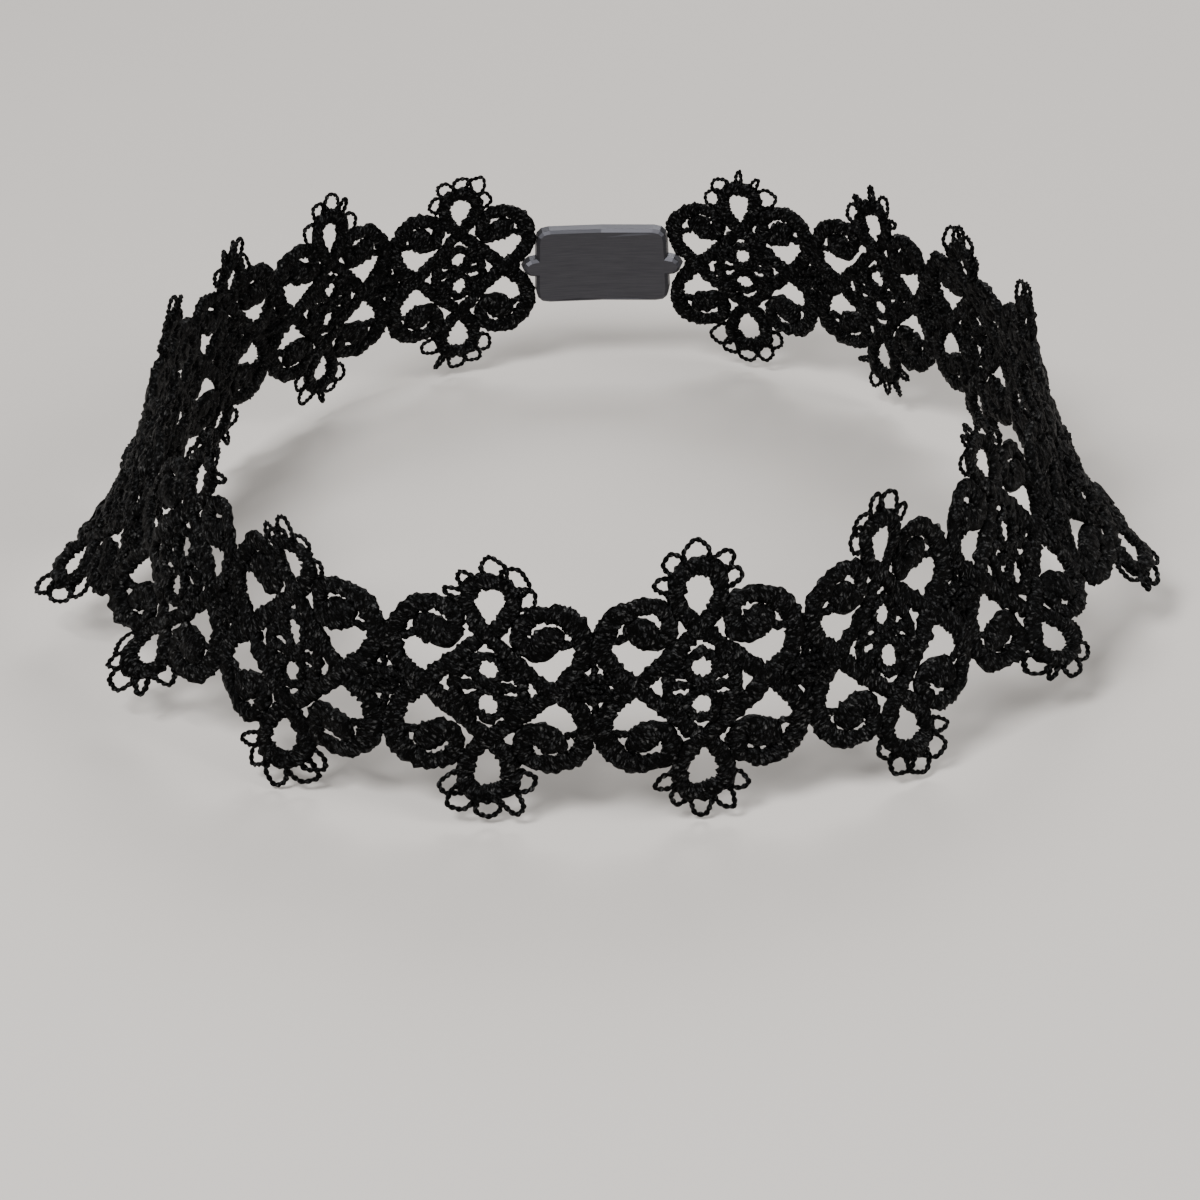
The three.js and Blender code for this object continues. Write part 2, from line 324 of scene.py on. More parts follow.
# %% One picot
TEARDROP_MIDDLE, TEARDROP_EDGE = 10.85, 3.25
PICOT_ANGLES = np.array([-77.0, -38.5, 0.0, 38.5, 77.0])
PICOT_SWEEP, PICOT_POINTS, FOOT_DEPTH = 128, 41, 0.35
KINKS = (0.05, 0.04)
# Motif, and 1 above or -1 below: the angle in degrees, the half width and the reach
PICOTS = {
    (7, 1): [(-73, 1.45, 2.05), (-42, 2.1, 0.95), (-10, 1.4, 1.85),
             (32, 1.15, 1.25), (87, 1.1, 0.95)],
    (7, -1): [(-73, 0.75, 1.95), (-46, 1.3, 1.65), (-2, 1.25, 1.65),
             (42, 1.35, 1.75), (69, 1.3, 1.55)],
    (8, 1): [(-87, 0.5, 1.55), (-54, 1.15, 1.15), (2, 1.65, 1.55),
             (44, 1.95, 1.45), (81, 1.3, 1.55)],
    (8, -1): [(-69, 1.3, 1.65), (-44, 1.3, 1.75), (2, 1.3, 1.55),
             (40, 1.15, 1.75), (77, 1.15, 1.35)],
    (9, 1): [(-77, 0.85, 1.55), (-44, 1.05, 1.55), (-3, 1.5, 1.45),
             (48, 1.2, 1.45), (76, 1.0, 1.35)],
    (9, -1): [(-77, 0.85, 1.55), (-42, 1.05, 1.15), (-2, 1.1, 1.55),
             (36, 0.95, 1.55), (69, 0.95, 1.55)],
    (10, 1): [(-75, 1.4, 1.25), (-46, 1.35, 1.35), (-8, 1.1, 1.65),
             (20, 1.1, 1.6), (62, 1.15, 1.4)],
    (10, -1): [(-65, 1.35, 0.95), (-30, 1.4, 1.55), (2, 1.65, 1.65),
             (38, 1.5, 1.45), (77, 0.85, 1.55)],
}


def picot(angle, across, reach, twist, tilt, rng):
    """An oval open at its foot: across times the sine of the place sideways, and reach times
    its cosine outwards, about a middle that lies so far out that the foot is in the cord.
    The oval swells and shrinks by waves of three and five times the place, as wiry thread
    keeps its kinks, and it is turned by twist about its own axis and tilted out of the lace."""
    place = np.radians(np.linspace(-PICOT_SWEEP, PICOT_SWEEP, PICOT_POINTS))
    third, fifth = rng.uniform(0, 2 * np.pi, 2)
    kink = 1 + KINKS[0] * np.cos(3 * place + third) + KINKS[1] * np.cos(5 * place + fifth)
    aside = kink * across * np.sin(place)
    beyond = reach * (kink * np.cos(place) - np.cos(place[0])) - FOOT_DEPTH
    turn, bend, roll = np.radians([angle, tilt, twist])
    outward = np.array([np.sin(turn), np.cos(turn), 0.0])
    sideways = np.array([np.cos(turn), -np.sin(turn), 0.0])
    leaning = outward * np.cos(bend) + np.array([0, 0, 1.0]) * np.sin(bend)
    flank = sideways * np.cos(roll) + np.cross(leaning, sideways) * np.sin(roll)
    edge = np.array([0.0, TEARDROP_MIDDLE, 0.0]) + outward * TEARDROP_EDGE
    line = edge + aside[:, None] * flank + beyond[:, None] * leaning
    return twisted_plies(line, np.cross(flank, leaning))


# %% [markdown]
# ## The drawing of one motif
#
# The embroiderer's drawing is a few running lines. One of them starts as the fat leaf inside
# an upper scroll, turns up beside the teardrop, goes over the crest and down the side,
# crosses its twin at the waist, runs on as an edge of the diamond, crosses again and closes
# as the lower teardrop. The same line, turned over, makes the other half. The tables below
# hold one side of each line, read off a flat drawing, and the mirror image gives the rest.

# %% The tables of the drawing: x, y, width, lift, height
RUNNING_LINE = [
    (8.6, 7.00, 2.36, 0.05, 1.15),
    (7.9, 6.90, 3.11, 0.10, 1.40),
    (6.8, 6.50, 3.51, 0.12, 1.50),
    (5.8, 6.00, 3.26, 0.10, 1.45),
    (4.9, 5.65, 2.76, 0.04, 1.25),
    (4.0, 5.90, 2.26, 0.00, 1.15),
    (3.6, 7.05, 2.06, -0.04, 1.10),
    (3.7, 8.05, 2.01, -0.04, 1.10),
    (4.2, 8.90, 1.96, 0.00, 1.15),
    (5.3, 9.35, 1.91, 0.02, 1.15),
    (6.6, 9.50, 1.96, 0.02, 1.20),
    (8.0, 9.20, 2.16, 0.02, 1.20),
    (9.25, 8.40, 2.31, 0.02, 1.25),
    (10.2, 7.15, 2.36, 0.02, 1.25),
    (10.7, 5.70, 2.26, 0.02, 1.25),
    (10.7, 4.15, 2.16, 0.02, 1.20),
    (10.0, 2.50, 2.11, 0.04, 1.15),
    (8.75, 1.20, 2.11, 0.10, 1.15),
    (7.2, 0.00, 2.06, 0.12, 1.15),
    (5.6, -1.45, 1.91, 0.05, 1.10),
    (4.2, -2.80, 1.81, -0.05, 1.05),
    (2.8, -4.10, 1.81, -0.05, 1.05),
    (1.4, -5.35, 1.81, 0.05, 1.10),
    (0.1, -6.45, 1.86, 0.12, 1.10),
    (-1.1, -7.55, 1.96, 0.08, 1.15),
    (-2.1, -8.95, 2.01, 0.02, 1.20),
    (-2.6, -10.50, 1.96, 0.00, 1.20),
    (-2.35, -12.00, 1.96, 0.00, 1.20),
    (-1.4, -12.95, 2.01, 0.00, 1.20),
    (0.0, -13.25, 2.06, 0.00, 1.20),
]
EYE_HEIGHT, EYE_RADIUS = 2.22, 1.66
EYE_CORD, EYE_LIFT, EYE_THICKNESS = 0.98, 0.04, 1.05
SHOULDER = [
    (1.55, 3.95, 1.02, -0.10, 0.85),
    (2.45, 3.15, 1.47, -0.06, 0.95),
    (3.25, 2.05, 1.67, -0.02, 1.00),
    (3.75, 0.95, 1.42, -0.02, 0.95),
    (3.85, 0.00, 1.22, -0.02, 0.95),
    (3.75, -0.95, 1.42, -0.02, 0.95),
    (3.25, -2.05, 1.67, -0.02, 1.00),
    (2.45, -3.15, 1.47, -0.06, 0.95),
    (1.55, -3.95, 1.02, -0.10, 0.85),
]
UNDER_EYE = [
    (3.45, 2.15, 1.05, -0.04, 0.85),
    (2.65, 1.72, 1.05, -0.02, 0.90),
    (1.95, 1.50, 1.00, -0.02, 0.90),
    (1.25, 1.25, 0.90, -0.02, 0.85),
]
MIDDLE_BAR = [
    (-3.8, 0.0, 1.05, -0.02, 0.85),
    (-1.5, 0.05, 0.95, 0.0, 0.90),
    (0.0, 0.0, 1.15, 0.04, 1.00),
    (1.5, 0.0, 0.95, 0.0, 0.90),
    (3.8, 0.0, 1.05, -0.02, 0.85),
]
LEAF_TIE = [
    (7.9, 5.95, 0.90, 0.0, 0.80),
    (9.0, 5.62, 0.80, 0.0, 0.75),
    (10.3, 5.55, 0.90, 0.0, 0.80),
]
SIDE_TIE = [
    (6.7, 0.0, 1.75, 0.0, 1.00),
    (8.0, 0.0, 2.00, 0.02, 1.05),
    (9.5, 0.0, 1.90, 0.02, 1.05),
]
print("rows in the running line:", len(RUNNING_LINE))


# %% Turning a table over, and shaking it a little
SHAKE, WIDTH_SHAKE, LIFT_SHAKE = 0.06, 0.05, 0.05


def turned(rows, x_sign=1, y_sign=1):
    """The same line with x, y or both turned over."""
    rows = np.array(rows, float)
    rows[:, 0] *= x_sign
    rows[:, 1] *= y_sign
    return rows


def shaken(rows, rng, amount=SHAKE):
    """Each point is moved by a small random amount, its width is scaled by about one, and its
    lift goes up or down a little."""
    rows = np.array(rows, float)
    rows[:, :2] += rng.normal(0, amount, (len(rows), 2))
    rows[:, 2:3] *= 1 + rng.normal(0, WIDTH_SHAKE, (len(rows), 1))
    rows[:, 3:4] += rng.normal(0, LIFT_SHAKE, (len(rows), 1))
    return rows


def oval_rows(centre, half_length, half_height, width, lift, height, count=12):
    """Points evenly round an oval, with a constant width, lift and height."""
    turn = 2 * np.pi * np.arange(count) / count
    x = centre[0] + half_length * np.cos(turn)
    y = centre[1] + half_height * np.sin(turn)
    same = np.ones(count)
    return np.stack([x, y, width * same, lift * same, height * same], 1)


def joined(parts):
    """Many small grids as one: later parts' corner numbers start after the earlier points."""
    starts = np.cumsum([0] + [len(part["points"]) for part in parts[:-1]])
    return {
        "points": np.vstack([part["points"] for part in parts]),
        "quads": np.vstack([part["quads"] + s for part, s in zip(parts, starts)]),
        "fans": np.vstack([part["fans"] + s for part, s in zip(parts, starts)]),
        "place": np.vstack([part["place"] for part in parts]),
    }


# %% The cords and picots of a motif, still flat
UNDER_CROSSING = -0.6
PICOT_ANGLE_SHAKE, PICOT_TWIST, PICOT_TILT = 4, 12, 8
PICOT_HALF_WIDTHS, PICOT_REACHES = (1.15, 1.5), (1.3, 1.8)
EDGE_ON_SHARE, EDGE_ON_WIDTH = 0.2, 0.4


def motif_cords(rng):
    """All cords of one motif, each shaken by the given random source. The running line's left
    half takes the right half's lifts times a share below nought, so that where the two cross,
    one goes over and the other under."""
    parts = []
    for y_sign in (1, -1):
        right = turned(RUNNING_LINE, 1, y_sign)
        left = turned(RUNNING_LINE[-2::-1], -1, y_sign)
        left[:, 3] *= UNDER_CROSSING
        parts.append(stitched_cord(shaken(np.vstack([right, left]), rng), rng))
        eye = oval_rows((0, y_sign * EYE_HEIGHT), EYE_RADIUS, EYE_RADIUS,
                        EYE_CORD, EYE_LIFT, EYE_THICKNESS)
        parts.append(stitched_cord(shaken(eye, rng), rng, closed=True))
        for x_sign in (1, -1):
            for table in (UNDER_EYE, LEAF_TIE):
                rows = turned(table, x_sign, y_sign)
                parts.append(stitched_cord(shaken(rows, rng), rng))
    for x_sign in (1, -1):
        for table in (SHOULDER, SIDE_TIE):
            parts.append(stitched_cord(shaken(turned(table, x_sign), rng), rng))
    parts.append(stitched_cord(shaken(MIDDLE_BAR, rng), rng))
    return parts


def random_picots(rng):
    """Angle, half width and reach of five picots. About one in five stands nearly edge on, so
    its half width shrinks to a share."""
    count = len(PICOT_ANGLES)
    half_widths = rng.uniform(*PICOT_HALF_WIDTHS, count)
    half_widths = half_widths * np.where(rng.uniform(size=count) < EDGE_ON_SHARE, EDGE_ON_WIDTH, 1)
    angles = PICOT_ANGLES + rng.normal(0, PICOT_ANGLE_SHAKE, count)
    return np.stack([angles, half_widths, rng.uniform(*PICOT_REACHES, count)], 1)


def motif_picots(number, rng):
    """Five picots above and five below, from the motif's own rows or at random. The random
    rows are drawn in any case, so that the other draws stay the same. A turned loop's faces
    are turned too."""
    parts = []
    for y_sign in (1, -1):
        rows = PICOTS.get((number, y_sign), random_picots(rng))
        for angle, half_width, reach in rows:
            twist, tilt = rng.normal(0, PICOT_TWIST), rng.normal(0, PICOT_TILT)
            for ply in picot(angle, half_width, reach, twist, tilt, rng):
                ply["points"][:, 1] *= y_sign
                if y_sign < 0:
                    ply["quads"], ply["fans"] = ply["quads"][:, ::-1], ply["fans"][:, ::-1]
                parts.append(ply)
    return parts


# %% [markdown]
# ## Worn lace is never quite flat
#
# Washed and worn lace ripples, and its loops are pulled this way and that. Each motif gets
# slow waves that move its points out of the lace, and the loops and scrolls of the motifs at
# the front are pulled by the amounts that were read off the real lace, one row a motif. The
# pull of each place fades with distance. Where a motif is sewn to the next, the two share one
# pull of their own, so the seam between them stays closed.

# %% Pulls on the front motifs, in millimetres along and up
PULL_PLACES = np.array([(0, 14), (0, 8.5), (-7, 6.5), (7, 6.5), (0, 0),
                        (-7, -6.5), (7, -6.5), (0, -8.5), (0, -14)], float)
PULL_REACH, PULL_REST, SEWN_REACH = 4.0, 0.15, 2.8
RANDOM_PULL = 0.25
PULLS = {
    5: [(0.2, 1.6), (0, 1.4), (-0.6, 0.8), (1.4, 1.6), (0.6, 0.4),
        (0.2, 0.4), (0, 0.8), (-0.8, 0), (-1.6, -0.4)],
    6: [(1.35, 1.4), (0.6, 2.2), (-0.6, 2.3), (2.4, 2.05), (4, 2.4),
        (1.4, 1.3), (1.6, 0.05), (-0.2, 0.2), (-4.3, 0)],
    7: [(-3.6, -3.8), (-0.25, 0.3), (-0.05, 0.55), (-1.9, -1.8), (-0.4, -1.3),
        (0, -1.15), (-0.8, -1.75), (-1.2, -0.7), (-2.4, -1.5)],
    8: [(1.2, -1.45), (0, -0.3), (0.1, -0.3), (0, -1.4), (0.45, 0.7),
        (0, -0.6), (0.85, 0.3), (-0.4, 0.4), (-0.3, 0.2)],
    9: [(0.45, 0.3), (0.15, -0.2), (0.35, 0.15), (-0.05, -0.05), (0, 0),
        (0.15, 0.75), (0.85, -1.15), (-0.3, 0.6), (0, -0.15)],
    10: [(-0.35, 0.35), (-0.05, 0.45), (0.85, -0.2), (-3, 2.5), (-1, 0.25),
         (0.65, -1.8), (-0.7, -0.55), (-0.4, -0.3), (2.8, -1.2)],
    11: [(-3.95, 2.15), (-1.6, 2.8), (-3.4, 3), (1.2, 2.85), (-1.4, 1.6),
         (-1.45, 0), (-1.75, 0.85), (-1.1, -0.35), (3.3, 0.4)],
    12: [(-0.6, 0.4), (-0.6, 1.2), (-2.4, 0.8), (-0.2, 0.8), (-1.8, 0.2),
         (-0.8, 0.8), (-0.8, -0.4), (0.8, -0.8), (1.2, -1.2)],
}
SEWN_PULLS = {5: (-0.75, -0.5), 6: (0.35, 0.6), 7: (-0.35, -1), 8: (0, 0.25),
              9: (0.5, -0.6), 10: (-0.9, 0.65), 11: (-1.15, -0.6)}
NO_PULL = (0.0, 0.0)


def pulled(points, number, rng):
    """Adds to each point the pulls of its motif, each weighted by a bell curve of the point's
    distance from the pull's place and divided by the sum of the weights and a small rest. Near
    a sewn side the side's own pull takes over by another bell curve, so neighbours stay
    together. A motif with no row takes small random pulls, which are drawn in any case."""
    pulls = np.array(PULLS.get(number, rng.normal(0, RANDOM_PULL, (len(PULL_PLACES), 2))), float)
    away = points[:, None, :2] - PULL_PLACES[None]
    weight = np.exp(-0.5 * (away**2).sum(-1) / PULL_REACH**2)
    left, right = (np.exp(-0.5 * ((points[:, 0:1] - side * MOTIF_PITCH / 2) / SEWN_REACH) ** 2)
                   for side in (-1, 1))
    free = np.clip(1 - left - right, 0, 1)
    moved = points.copy()
    moved[:, :2] += free * (weight / (weight.sum(1, keepdims=True) + PULL_REST)) @ pulls
    moved[:, :2] += left * np.array(SEWN_PULLS.get(number - 1, NO_PULL))
    moved[:, :2] += right * np.array(SEWN_PULLS.get(number, NO_PULL))
    return moved


RIPPLE_COUNT, RIPPLE_HEIGHT, RIPPLE_LENGTHS = 3, 0.28, (14, 30)
FULL_TURN = 6.28


def rippled(points, rng):
    """To z are added a few sine waves with random directions, lengths and starts, times one
    minus the fourth power of the share of the half pitch."""
    hold = np.clip(1 - np.abs(points[:, 0] / (MOTIF_PITCH / 2)) ** 4, 0, 1)
    moved = points.copy()
    for _ in range(RIPPLE_COUNT):
        way = rng.uniform(0, 2 * np.pi)
        wave = 2 * np.pi / rng.uniform(*RIPPLE_LENGTHS)
        phase = wave * (points[:, 0] * np.cos(way) + points[:, 1] * np.sin(way))
        moved[:, 2] += RIPPLE_HEIGHT * hold * np.sin(phase + rng.uniform(0, FULL_TURN))
    return moved


# %% [markdown]
# ## From arrays to a Blender object
#
# Python lists of vertices would be slow for this many stitches, so the arrays go into the
# mesh in one call each. One vector travels with every point: its place on the straightened
# cord, in millimetres, so that the finish can lay its threads across each cord.

# %% Making an object
def lace_object(name, centre, whole, material, *nodes):
    """Lays the joined cords on the band about the centre, and makes the named object in place
    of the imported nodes. Gives its number of triangles."""
    points = lay_on_band(centre, whole["points"])
    mesh = bpy.data.meshes.new(name)
    mesh.vertices.add(len(points))
    mesh.vertices.foreach_set("co", points.astype(np.float32).ravel())
    corners = np.concatenate([whole["quads"].ravel(), whole["fans"].ravel()])
    mesh.loops.add(len(corners))
    mesh.loops.foreach_set("vertex_index", corners.astype(np.int32))
    sizes = np.repeat([4, 3], [len(whole["quads"]), len(whole["fans"])])
    starts = np.concatenate([[0], np.cumsum(sizes)[:-1]])
    mesh.polygons.add(len(sizes))
    mesh.polygons.foreach_set("loop_start", starts.astype(np.int32))
    layer = mesh.attributes.new("cord_place", "FLOAT_VECTOR", "POINT")
    layer.data.foreach_set("vector", whole["place"].astype(np.float32).ravel())
    mesh.update(calc_edges=True)
    mesh.validate()
    piece = bpy.data.objects.new(name, mesh)
    bpy.context.scene.collection.objects.link(piece)
    mesh.materials.append(material)
    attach(piece, "root")
    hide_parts(*nodes)
    return 2 * len(whole["quads"]) + len(whole["fans"])


# %% [markdown]
# ## Black embroidery thread
#
# The thread is dyed polyester, and seen closely no cord is one even black. Each pass of the
# needle lays a short length of thread across the cord. The passes could be modelled one by
# one, but at a quarter of a millimetre each they would take a far finer mesh. So the finish
# draws each as a stretched cell laid across the straightened cord, with its own tone and its
# own bulge in the bump. The tones run at random from nearly black to dark grey, and the lighter
# ones are partly painted highlight, standing for glints on the thread. The gap between passes
# is painted shade, nearly black. Fine noise frays the cells and varies the roughness, as loose
# fibres do.

# %% Helpers for materials
def linear(hex_colour):
    """sRGB hex to linear: below 0.04045 divided by 12.92, else ((c + 0.055) / 1.055) ^ 2.4."""
    values = np.array([int(hex_colour[i : i + 2], 16) for i in (1, 3, 5)]) / 255
    curved = ((values + 0.055) / 1.055) ** 2.4
    return (*np.where(values <= 0.04045, values / 12.92, curved), 1.0)


def add_node(tree, kind, settings=None, links=None, values=None):
    """A node with its settings, its input values by name or number, and links to inputs."""
    node = tree.nodes.new(kind)
    for key, value in (settings or {}).items():
        setattr(node, key, value)
    for key, value in (values or {}).items():
        node.inputs[key].default_value = value
    for key, socket in (links or {}).items():
        tree.links.new(socket, node.inputs[key])
    return node


def new_material(name):
    """A material whose tree holds only its output and a shader joined to it."""
    material = bpy.data.materials.new(name)
    material.use_nodes = True
    tree = material.node_tree
    tree.nodes.clear()
    shader = add_node(tree, "ShaderNodeBsdfPrincipled")
    add_node(tree, "ShaderNodeOutputMaterial", links={"Surface": shader.outputs["BSDF"]})
    return material, tree, shader


# %% The thread's finish
THREAD_WIDTH, THREAD_SHOWN, THREAD_DEEP = 0.26, 0.6, 0.45
THREAD_SLANT, THREAD_BUMP = 22, 0.1
FUZZ_SIZE, FUZZ_STIR = 0.3, 0.6


def thread_material():
    """Each cell of a stretched cell pattern is one pass of thread across the cord, bulging in
    the bump. Its tone runs at random from nearly black to dark grey, the lighter tones partly
    painted highlight for glints on the thread, and the gaps between passes are painted shade,
    nearly black. Fine noise stirs the cells and the roughness."""
    material, tree, shader = new_material("black_embroidery_thread")
    place = add_node(tree, "ShaderNodeAttribute", {"attribute_name": "cord_place"})
    fuzz = add_node(tree, "ShaderNodeTexNoise", links={"Vector": place.outputs["Vector"]},
                    values={"Scale": 1 / FUZZ_SIZE, "Detail": 3.0, "Roughness": 0.65})
    stirred = add_node(tree, "ShaderNodeVectorMath", {"operation": "SCALE"},
                       links={0: fuzz.outputs["Color"]}, values={"Scale": FUZZ_STIR})
    moved = add_node(tree, "ShaderNodeVectorMath", {"operation": "ADD"},
                     links={0: place.outputs["Vector"], 1: stirred.outputs[0]})
    laid = add_node(tree, "ShaderNodeMapping", {"vector_type": "TEXTURE"},
                    links={"Vector": moved.outputs[0]},
                    values={"Rotation": (0, 0, np.radians(THREAD_SLANT)),
                            "Scale": (THREAD_WIDTH, THREAD_SHOWN, THREAD_DEEP)})
    threads = add_node(tree, "ShaderNodeTexVoronoi", links={"Vector": laid.outputs[0]},
                       values={"Scale": 1.0})
    # Near 1 in the middle of a pass and 0 at its edge. It bulges the bump, and below it fades the
    # colour into painted shade in the gap between passes.
    back = add_node(tree, "ShaderNodeMapRange", links={"Value": threads.outputs["Distance"]},
                    values={"From Min": 0.12, "From Max": 0.55, "To Min": 1.0, "To Max": 0.0})
    one = add_node(tree, "ShaderNodeSeparateColor", links={"Color": threads.outputs["Color"]})
    # Each pass takes a random tone from its cell's colour. The dark grey end of this ramp is
    # partly painted highlight, standing for glints on the thread fibres.
    ramp = add_node(tree, "ShaderNodeValToRGB", links={"Fac": one.outputs[0]})
    pass_tones_and_painted_glints = ramp.color_ramp.elements
    pass_tones_and_painted_glints[0].position, pass_tones_and_painted_glints[0].color = 0.0, linear("#060606")
    pass_tones_and_painted_glints[1].position, pass_tones_and_painted_glints[1].color = 1.0, linear("#5c5c5b")
    for position, colour in ((0.35, "#161617"), (0.7, "#323334"), (0.92, "#424242")):
        pass_tones_and_painted_glints.new(position).color = linear(colour)
    # Painted shade: towards the gap between passes the colour is mixed down to nearly black.
    shade = add_node(tree, "ShaderNodeMix", {"data_type": "RGBA"},
                     links={"Factor": back.outputs[0], "B": ramp.outputs["Color"]},
                     values={"A": linear("#010101")})
    tree.links.new(shade.outputs["Result"], shader.inputs["Base Color"])
    rough = add_node(tree, "ShaderNodeMapRange", links={"Value": fuzz.outputs["Fac"]},
                     values={"To Min": 0.55, "To Max": 0.3})
    tree.links.new(rough.outputs[0], shader.inputs["Roughness"])
    height = add_node(tree, "ShaderNodeMath", {"operation": "ADD"},
                      links={0: back.outputs[0], 1: fuzz.outputs["Fac"]})
    bump = add_node(tree, "ShaderNodeBump", links={"Height": height.outputs[0]},
                    values={"Strength": 1.0, "Distance": THREAD_BUMP * MM})
    tree.links.new(bump.outputs["Normal"], shader.inputs["Normal"])
    shader.inputs["Specular IOR Level"].default_value = 0.04
    return material


THREAD = thread_material()
print("material:", THREAD.name)

# %% [markdown]
# ## All sixteen motifs
#
# Every motif is the same drawing, but each gets its own random source, so no two have the
# same stitches. The source is numbered, so a second run gives exactly the same lace.

# %% Make the motifs
FIRST_CENTRE = -(MOTIF_COUNT - 1) / 2 * MOTIF_PITCH
MOTIF_SEED = 700
made = 0
for number in range(1, MOTIF_COUNT + 1):
    rng = np.random.default_rng(MOTIF_SEED + number)
    whole = joined(motif_cords(rng) + motif_picots(number, rng))
    whole["points"] = rippled(pulled(whole["points"], number, rng), rng)
    label = "%02d" % number
    centre = FIRST_CENTRE + (number - 1) * MOTIF_PITCH
    made += lace_object("stitched_motif_" + label, centre, whole, THREAD, "lace_motif_" + label)
print("triangles in the motifs:", made)

# %% [markdown]
# ## The ovals between the motifs
#
# Where two motifs meet, the machine sews a small padded oval over both of them, in rings that
# climb a little towards its middle. One seam above and one below hold the scrolls together.

# %% Make the ovals
OVAL_SEED = 900
RING_SHAKE, CORE_SHAKE = 0.05, 0.04
RING_LEVEL = -0.05
OVAL_RINGS = [
    (2.65, 1.22, 0.95, 0.12, 1.25),
    (1.60, 0.56, 0.80, 0.30, 1.35),
]
OVAL_CORE = [
    (-1.15, 0.0, 0.60, 0.42, 1.20),
    (0.0, 0.02, 0.70, 0.48, 1.25),
    (1.15, 0.0, 0.60, 0.42, 1.20),
]
SEAM = [
    (0.0, 1.35, 0.65, 0.0, 0.80),
    (0.05, 2.60, 0.60, 0.0, 0.80),
    (-0.05, 3.60, 0.90, 0.0, 0.90),
    (0.05, 5.00, 1.15, 0.02, 1.00),
    (0.0, 6.40, 0.95, 0.0, 0.90),
]
for number in range(1, MOTIF_COUNT):
    rng = np.random.default_rng(OVAL_SEED + number)
    parts = []
    for half_length, half_height, width, lift, height in OVAL_RINGS:
        ring = oval_rows((0, RING_LEVEL), half_length, half_height, width, lift, height)
        parts.append(stitched_cord(shaken(ring, rng, RING_SHAKE), rng, closed=True))
    parts.append(stitched_cord(shaken(OVAL_CORE, rng, CORE_SHAKE), rng))
    for y_sign in (1, -1):
        parts.append(stitched_cord(shaken(turned(SEAM, 1, y_sign), rng), rng))
    whole = joined(parts)
    whole["points"][:, :2] += np.array(SEWN_PULLS.get(number, NO_PULL))
    label = "%02d" % number
    centre = FIRST_CENTRE + (number - 0.5) * MOTIF_PITCH
    made += lace_object("stitched_oval_" + label, centre, whole, THREAD, "joining_bar_" + label)
print("triangles with the ovals:", made)

# %% [markdown]
# ## The clasp
#
# The fastening is a plain plate at the nape, and its solid already has the right shape, so it
# stays and only gets its finish: zinc alloy with dark plating, brushed along its length.
# Brushing leaves fine scratches, so the roughness runs in thin streaks.


# %% The clasp's finish
SCRATCH_LENGTH, SCRATCH_WIDTH, SCRATCH_DEPTH = 4, 0.12, 0.02


def plated_metal():
    """Dark metal whose roughness and bump are noise stretched along the clasp's length."""
    material, tree, shader = new_material("dark_brushed_plating")
    place = add_node(tree, "ShaderNodeTexCoord").outputs["Object"]
    along = add_node(tree, "ShaderNodeMapping", links={"Vector": place},
                     values={"Scale": (1 / (SCRATCH_LENGTH * MM), 1 / (SCRATCH_LENGTH * MM),
                                       1 / (SCRATCH_WIDTH * MM))})
    streaks = add_node(tree, "ShaderNodeTexNoise", links={"Vector": along.outputs[0]},
                       values={"Scale": 1.0, "Detail": 3.0})
    ramp = add_node(tree, "ShaderNodeValToRGB", links={"Fac": streaks.outputs["Fac"]})
    ramp.color_ramp.elements[0].color = linear("#3c3c41")
    ramp.color_ramp.elements[1].color = linear("#5b5b60")
    tree.links.new(ramp.outputs["Color"], shader.inputs["Base Color"])
    rough = add_node(tree, "ShaderNodeMapRange", links={"Value": streaks.outputs["Fac"]},
                     values={"To Min": 0.45, "To Max": 0.6})
    tree.links.new(rough.outputs[0], shader.inputs["Roughness"])
    bump = add_node(tree, "ShaderNodeBump", links={"Height": streaks.outputs["Fac"]},
                    values={"Strength": 0.25, "Distance": SCRATCH_DEPTH * MM})
    tree.links.new(bump.outputs["Normal"], shader.inputs["Normal"])
    shader.inputs["Metallic"].default_value = 1.0
    return material


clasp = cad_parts["clasp"]
clasp.data.materials.clear()
clasp.data.materials.append(plated_metal())
print("clasp material:", clasp.data.materials[0].name)

# %% [markdown]
# ## Floor, light and camera
#
# The lace stands on a plain pale floor. Black thread needs large soft lights, because small
# ones would only leave pin-sharp sparks. The camera looks down at the front of the choker.

# %% The floor
FLOOR_GAP, FLOOR_REACH = 0.3 * MM, 6.0
visual_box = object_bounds()
FLOOR_LEVEL = visual_box[0][2] - FLOOR_GAP
floor_mesh = bpy.data.meshes.new("floor")
signs = ((-1, -1), (1, -1), (1, 1), (-1, 1))
floor_corners = [(x * FLOOR_REACH, y * FLOOR_REACH, FLOOR_LEVEL) for x, y in signs]
floor_mesh.from_pydata(floor_corners, [], [(0, 1, 2, 3)])
floor = bpy.data.objects.new("floor", floor_mesh)
bpy.context.scene.collection.objects.link(floor)
paint, paint_tree, paint_shader = new_material("pale_matt_paint")
mottle = add_node(paint_tree, "ShaderNodeTexNoise", values={"Scale": 3.0, "Detail": 2.0},
                  links={"Vector": add_node(paint_tree, "ShaderNodeTexCoord").outputs["Object"]})
shade = add_node(paint_tree, "ShaderNodeValToRGB", links={"Fac": mottle.outputs["Fac"]})
shade.color_ramp.elements[0].color = linear("#c3beb9")
shade.color_ramp.elements[1].color = linear("#c9c4bf")
paint_tree.links.new(shade.outputs["Color"], paint_shader.inputs["Base Color"])
paint_shader.inputs["Roughness"].default_value = 0.9
floor_mesh.materials.append(paint)
floor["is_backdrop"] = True
print("floor at %.1f mm" % (FLOOR_LEVEL / MM))


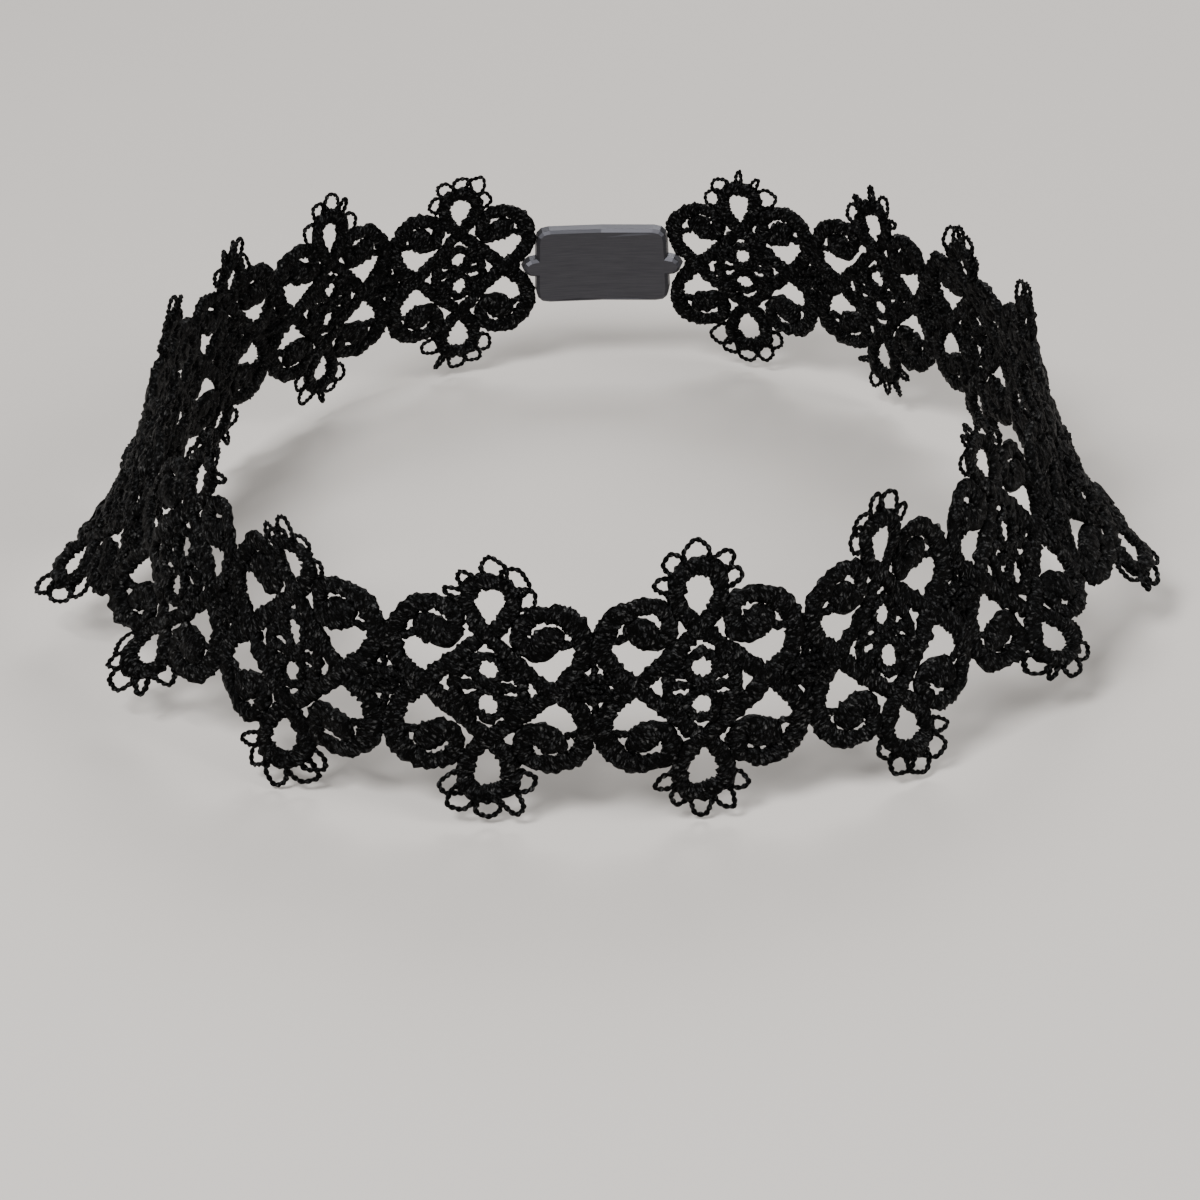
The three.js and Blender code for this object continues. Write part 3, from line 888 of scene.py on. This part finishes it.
# %% The lights
def soft_light(name, place, aim, width, power):
    """A square area light at place that faces aim."""
    lamp = bpy.data.lights.new(name, "AREA")
    lamp.size = width
    lamp.energy = power
    light = bpy.data.objects.new(name, lamp)
    light.location = place
    light.rotation_euler = (Vector(aim) - Vector(place)).to_track_quat("-Z", "Y").to_euler()
    bpy.context.scene.collection.objects.link(light)
    return light


soft_light("key_light", (-0.35, -0.55, 0.75), (0, -0.03, 0), 0.32, 12.0)
soft_light("fill_light", (0.65, -0.35, 0.5), (0, -0.02, 0), 0.4, 4.5)
soft_light("back_light", (0.1, 0.7, 0.6), (0, 0, 0), 0.4, 4.5)
world = bpy.data.worlds.new("soft_room")
world.use_nodes = True
world.node_tree.nodes["Background"].inputs["Color"].default_value = linear("#e9e7e4")
world.node_tree.nodes["Background"].inputs["Strength"].default_value = 0.4
bpy.context.scene.world = world

# %% The camera
def swung(first, second, angle):
    """Two square directions turned in their plane: the first becomes its cosine share plus the
    second's sine share, and the second its cosine share less the first's sine share."""
    cos, sin = np.cos(angle), np.sin(angle)
    return first * cos + second * sin, second * cos - first * sin


CAMERA_DISTANCE, CAMERA_AZIMUTH, CAMERA_ELEVATION = 388.58, 1.68, 23.71
CAMERA_PITCH, CAMERA_YAW, CAMERA_ROLL = -3.19, -0.04, -1.33
FOCAL_PIXELS, PICTURE_PIXELS, SENSOR_WIDTH = 3025.05, 1200, 36.0
azimuth, elevation, pitch, yaw, roll = np.radians(
    [CAMERA_AZIMUTH, CAMERA_ELEVATION, CAMERA_PITCH, CAMERA_YAW, CAMERA_ROLL])
away = np.array([np.sin(azimuth) * np.cos(elevation),
                 -np.cos(azimuth) * np.cos(elevation), np.sin(elevation)])
look = -away
right = np.cross(look, [0, 0, 1.0])
right /= np.linalg.norm(right)
above = np.cross(right, look)
look, right = swung(look, right, yaw)
look, above = swung(look, above, pitch)
right, above = swung(right, above, roll)
lens = bpy.data.cameras.new("camera")
lens.sensor_fit = "HORIZONTAL"
lens.sensor_width = SENSOR_WIDTH
lens.lens = SENSOR_WIDTH * FOCAL_PIXELS / PICTURE_PIXELS
lens.clip_start = 0.01
lens.clip_end = 50.0
camera = bpy.data.objects.new("camera", lens)
turn = np.stack([right, above, -look], 1)
camera.matrix_world = Matrix.Translation(away * CAMERA_DISTANCE * MM) @ Matrix(turn).to_4x4()
bpy.context.scene.collection.objects.link(camera)
bpy.context.scene.camera = camera
print("lens: %.1f mm" % lens.lens)

# %% Sizes, and the end
visual_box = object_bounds()
